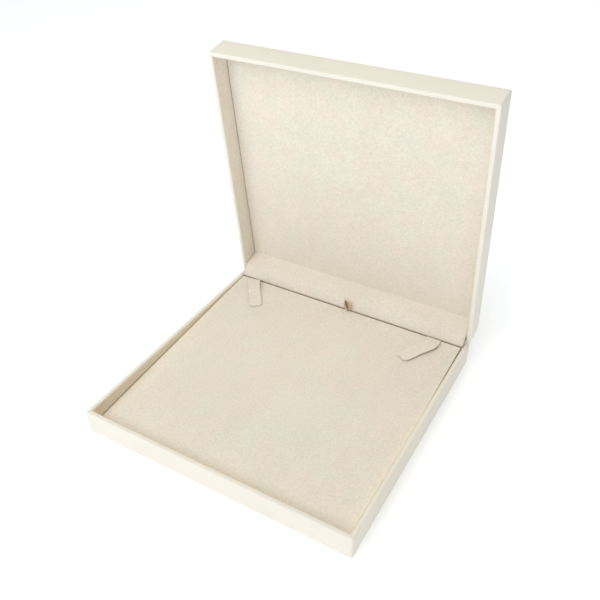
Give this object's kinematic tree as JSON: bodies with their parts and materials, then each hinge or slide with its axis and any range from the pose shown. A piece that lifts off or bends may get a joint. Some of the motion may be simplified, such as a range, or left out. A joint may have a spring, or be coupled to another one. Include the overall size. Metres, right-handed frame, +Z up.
{
  "type": "jewelry gift box",
  "caption": "Square leatherette necklace gift box with a sprung hinged lid, a sloping suede pad with tabs and a padded lid.",
  "frame": {"origin": "centre of the base's underside, on the surface the box stands on", "axes": "+X to the right along the front edge, +Y towards the hinge side, +Z up; the lid stands open at 80 degrees at rest"},
  "size_m": [0.2, 0.2185, 0.218],
  "materials": {
    "leatherette": "smooth ivory leatherette, satin",
    "suede": "sand-coloured suede cloth with short nap",
    "moulding": "plain moulded shell",
    "board": "grey board",
    "foam": "soft wadding",
    "steel": "plated stamped steel"
  },
  "bodies": {
    "base": {"base_tray": "moulding", "base_wrap": "leatherette", "base_bottom_sheet": "suede", "base_floor_lining": "suede", "base_lining_front": "suede", "base_lining_left": "suede", "base_lining_right": "suede", "insert_board": "board", "insert_foam": "foam", "insert_cover": "suede", "insert_riser_middle": "board", "insert_riser_rear": "board", "hinge_cover": "suede", "hinge_left_base_leaf": "steel", "hinge_left_pin": "steel", "hinge_left_spring": "steel", "hinge_left_base_rivet_1": "steel", "hinge_left_base_rivet_2": "steel", "hinge_left_base_rivet_3": "steel", "hinge_right_base_leaf": "steel", "hinge_right_pin": "steel", "hinge_right_spring": "steel", "hinge_right_base_rivet_1": "steel", "hinge_right_base_rivet_2": "steel", "hinge_right_base_rivet_3": "steel"},
    "lid": {"lid_shell": "moulding", "lid_wrap": "leatherette", "lid_lining_front": "suede", "lid_lining_left": "suede", "lid_lining_right": "suede", "lid_pad_board": "board", "lid_pad_wadding": "foam", "lid_pad_cover": "suede", "hinge_cover_board": "board", "hinge_left_lid_leaf": "steel", "hinge_left_lid_rivet_1": "steel", "hinge_left_lid_rivet_2": "steel", "hinge_right_lid_leaf": "steel", "hinge_right_lid_rivet_1": "steel", "hinge_right_lid_rivet_2": "steel"},
    "tab_left": {"tab_left": "suede"},
    "tab_right": {"tab_right": "suede"},
    "loop": {"tab_center": "suede"}
  },
  "joints": [
    {"name": "lid_hinge", "type": "hinge", "parent": "base", "child": "lid", "pos_m": [0, 0.1, 0.0179], "axis": [1, 0, 0], "range_deg": [0, 80], "deforming": ["hinge_cover"]},
    {"name": "tab_left_flap", "type": "hinge", "parent": "base", "child": "tab_left", "pos_m": [-0.0836, 0.091, 0.01765], "axis": [-0.8358, -0.549, 0], "range_deg": [0, 22]},
    {"name": "tab_right_flap", "type": "hinge", "parent": "base", "child": "tab_right", "pos_m": [0.075, 0.0895, 0.01765], "axis": [-0.9026, 0.4305, 0], "range_deg": [0, 22]},
    {"name": "loop_fold", "type": "hinge", "parent": "base", "child": "loop", "pos_m": [0.0032, 0.0912, 0.01775], "axis": [1, 0, 0], "range_deg": [0, 36]}
  ],
  "couplings": [
    {"joint": "loop_fold", "follows": "lid_hinge", "ratio": 0.4375}
  ]
}
